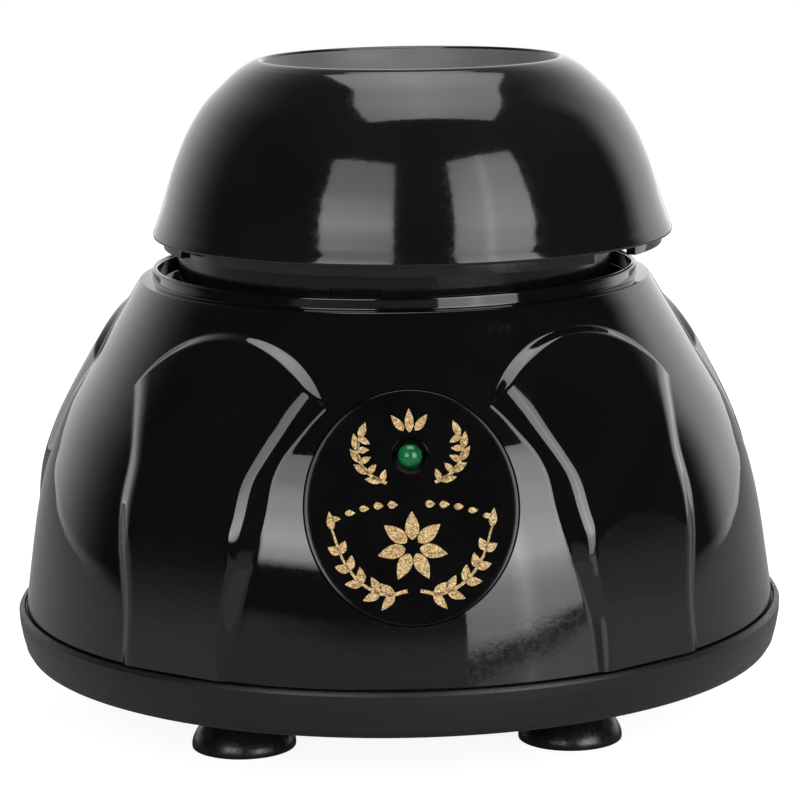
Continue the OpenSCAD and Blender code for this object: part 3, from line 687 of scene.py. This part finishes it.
def card(name, corners, strength, rise, streak):
    """A lit card. Its light changes from the lower to the upper edge, and a streak runs up it."""
    me = bpy.data.meshes.new(name)
    me.from_pydata(corners, [], [(0, 1, 2, 3)])
    uv = me.uv_layers.new(name="UVMap")
    for i, c in enumerate([(0, 0), (1, 0), (1, 1), (0, 1)]):
        uv.data[i].uv = c
    me.update()
    ob = bpy.data.objects.new(name, me)
    bpy.context.scene.collection.objects.link(ob)
    mat = bpy.data.materials.new(name)
    mat.use_nodes = True
    n, l = nodes_of(mat)
    n.remove(n["Principled BSDF"])
    tc = n.new("ShaderNodeTexCoord")
    sep = n.new("ShaderNodeSeparateXYZ")
    l.new(tc.outputs["UV"], sep.inputs["Vector"])
    mix = n.new("ShaderNodeMix")
    mix.data_type = "RGBA"
    mix.blend_type = "MULTIPLY"
    mix.inputs["Factor"].default_value = 1
    l.new(ramp(mat, sep.outputs["Y"], [(v, (c,)) for v, c in rise]), mix.inputs["A"])
    l.new(ramp(mat, sep.outputs["X"], [(v, (c,)) for v, c in streak]), mix.inputs["B"])
    em = n.new("ShaderNodeEmission")
    em.inputs["Strength"].default_value = strength
    l.new(mix.outputs["Result"], em.inputs["Color"])
    l.new(em.outputs["Emission"], n["Material Output"].inputs["Surface"])
    me.materials.append(mat)
    ob.visible_camera = False
    return ob


YAW = 2.2                      # the object is turned a little to the right of the camera


def direction(az, el):
    """A unit vector towards azimuth az, seen from the camera's side, and elevation el."""
    a, e = rad(az - YAW), rad(el)
    return Vector((math.sin(a) * math.cos(e), -math.cos(a) * math.cos(e), math.sin(e)))


MID = Vector((0, 0, 0.045))
CARD_FAR = 1.6


def box_at(az0, az1, el0, el1, dist):
    """The corners of a card that fills these azimuths and elevations, seen from the object."""
    return [tuple(MID + direction(a, e) * dist) for a, e in ((az0, el0), (az1, el0), (az1, el1), (az0, el1))]


card("softbox_left", box_at(-44, -9, 7.7, 42, CARD_FAR), 6.2,
     [(0, 0.05), (0.07, 0.6), (0.18, 0.92), (0.38, 0.8), (0.5, 0.66), (0.66, 0.45), (1, 0.37)],
     [(0, 1), (1, 0.96)])
card("softbox_right", box_at(19.5, 58, -7, 42.3, CARD_FAR), 8.0,
     [(0, 0.17), (0.113, 0.17), (0.122, 0.03), (0.134, 0.03), (0.142, 0.42), (0.24, 0.56), (0.35, 0.95),
      (0.53, 0.86), (0.69, 0.72), (0.88, 0.6), (1, 0.45)],
     [(0, 0.64), (0.4, 0.74), (0.5, 1.0), (0.6, 0.76), (1, 0.7)])


def turned(x, y, z):
    """A point of the camera's own axes, in the frame of the object."""
    return tuple(Matrix.Rotation(rad(-YAW), 3, "Z") @ Vector((x, y, z)))


TOP_H = 0.7
card("softbox_top", [turned(x * TOP_H, y * TOP_H, TOP_H) for x, y in (
    (-0.25, -0.32), (0.52, -0.22), (0.38, 0.6), (-0.33, 0.6))], 4.4,
     [(0, 0.8), (0.5, 0.95), (0.85, 0.7), (1, 0.45)], [(0, 0.74), (0.45, 1.0), (0.75, 0.8), (1, 0.7)])


def white_surface(name, color, seen, mirrored):
    """Pale ground. The camera sees it brighter than the object's reflections do."""
    mat = bpy.data.materials.new(name)
    mat.use_nodes = True
    n, l = nodes_of(mat)
    bs = n["Principled BSDF"]
    tex = noise(mat, 6, 3)
    dim = tuple(c * 0.985 for c in color)
    l.new(ramp(mat, tex.outputs["Fac"], [(0.3, dim), (0.7, color)]), bs.inputs["Base Color"])
    bs.inputs["Roughness"].default_value = 0.9
    bs.inputs["Specular IOR Level"].default_value = 0.0
    bs.inputs["Emission Color"].default_value = (1, 1, 1, 1)
    lp = n.new("ShaderNodeLightPath")
    mr = n.new("ShaderNodeMapRange")
    mr.inputs["To Min"].default_value = mirrored
    mr.inputs["To Max"].default_value = seen
    l.new(lp.outputs["Is Camera Ray"], mr.inputs["Value"])
    l.new(mr.outputs["Result"], bs.inputs["Emission Strength"])
    return mat


floor_mat = white_surface("floor_white", (0.42, 0.42, 0.42), 0.9, 0.02)


def plane(name, corners, mat):
    """A flat four-sided piece of the stage."""
    me = bpy.data.meshes.new(name)
    me.from_pydata(corners, [], [(0, 1, 2, 3)])
    me.update()
    me.materials.append(mat)
    ob = bpy.data.objects.new(name, me)
    bpy.context.scene.collection.objects.link(ob)
    return ob


FLOOR_SIDE, FLOOR_FRONT, FLOOR_BACK = 0.36, -0.25, 0.75
plane("floor", [turned(-FLOOR_SIDE, FLOOR_FRONT, 0), turned(FLOOR_SIDE, FLOOR_FRONT, 0),
                turned(FLOOR_SIDE, FLOOR_BACK, 0), turned(-FLOOR_SIDE, FLOOR_BACK, 0)], floor_mat)

world = bpy.data.worlds.new("studio")
bpy.context.scene.world = world
world.use_nodes = True
wn, wl = world.node_tree.nodes, world.node_tree.links
bgn = wn["Background"]


def math_node(operation, *values):
    """A math node on the world's tree. Each value is a number or another node's output."""
    m = wn.new("ShaderNodeMath")
    m.operation = operation
    for i, v in enumerate(values):
        if isinstance(v, (int, float)):
            m.inputs[i].default_value = v
        else:
            wl.new(v, m.inputs[i])
    return m.outputs["Value"]


def fade(value, lo, hi, a, b):
    """A smooth step from a to b while the value goes from lo to hi."""
    m = wn.new("ShaderNodeMapRange")
    m.interpolation_type = "SMOOTHSTEP"
    for key, v in (("From Min", lo), ("From Max", hi), ("To Min", a), ("To Max", b)):
        m.inputs[key].default_value = v
    wl.new(value, m.inputs["Value"])
    return m.outputs["Result"]


# A pale room behind the object fades in towards the back, sooner on the right, and out upwards.
# A dim glow lies along the horizon, and a little lower at the sides than in front.
ROOM_RIGHT, ROOM_LEFT, ROOM_HIGH, GLOW, BLACK = 1.3, 1.0, 0.05, 0.3, 0.016
tc = wn.new("ShaderNodeTexCoord")
sep = wn.new("ShaderNodeSeparateXYZ")
wl.new(tc.outputs["Generated"], sep.inputs["Vector"])
front = math_node("MULTIPLY", sep.outputs["Y"], -1)
azimuth = math_node("ADD", math_node("ARCTAN2", sep.outputs["X"], front), rad(YAW))
right = fade(azimuth, rad(111), rad(131), 0, ROOM_RIGHT)
left = fade(math_node("MULTIPLY", azimuth, -1), rad(100), rad(150), 0, ROOM_LEFT)
side = math_node("MAXIMUM", right, left)
up = fade(sep.outputs["Z"], 0.2, 0.85, 1, ROOM_HIGH)
rise = fade(math_node("ABSOLUTE", azimuth), rad(42), rad(62), 0, 0.069)
low = fade(math_node("ADD", sep.outputs["Z"], rise), 0.004, 0.03, GLOW, 0)
room = math_node("ADD", math_node("MULTIPLY", side, up), math_node("ADD", low, BLACK))
lp = wn.new("ShaderNodeLightPath")
mix = wn.new("ShaderNodeMix")
mix.data_type = "RGBA"
mix.inputs["B"].default_value = (1, 1, 1, 1)
wl.new(lp.outputs["Is Camera Ray"], mix.inputs["Factor"])
wl.new(room, mix.inputs["A"])
wl.new(mix.outputs["Result"], bgn.inputs["Color"])
bgn.inputs["Strength"].default_value = 1.0

# The camera was solved from the photograph's ellipses and edges, in millimetres, pixels and radians.
CAM_RIGHT, CAM_DISTANCE, CAM_HEIGHT = 0.492, 417.0, 120.33
CAM_PITCH, CAM_ROLL, FOCAL_PX, PICTURE = 0.18653, -0.01459, 3115.4, 800
cam_data = bpy.data.cameras.new("camera")
cam = bpy.data.objects.new("camera", cam_data)
bpy.context.scene.collection.objects.link(cam)
bpy.context.scene.camera = cam
cam_data.sensor_width = 36
cam_data.lens = FOCAL_PX / PICTURE * cam_data.sensor_width
cam_data.clip_start = 0.01
cam_data.clip_end = 20
place = (Matrix.Rotation(rad(-YAW), 4, "Z")
         @ Matrix.Translation((CAM_RIGHT * MM, -CAM_DISTANCE * MM, CAM_HEIGHT * MM)))
cam.matrix_world = place @ Matrix.Rotation(rad(90) - CAM_PITCH, 4, "X") @ Matrix.Rotation(CAM_ROLL, 4, "Z")

scene = bpy.context.scene
scene.render.engine = "CYCLES"
scene.render.resolution_x = scene.render.resolution_y = PICTURE
scene.view_settings.view_transform = "Standard"
scene.view_settings.look = "None"
scene.view_settings.exposure = 0
scene.view_settings.gamma = 1
scene.cycles.samples = 256
scene.cycles.use_denoising = True
scene.cycles.max_bounces = 10
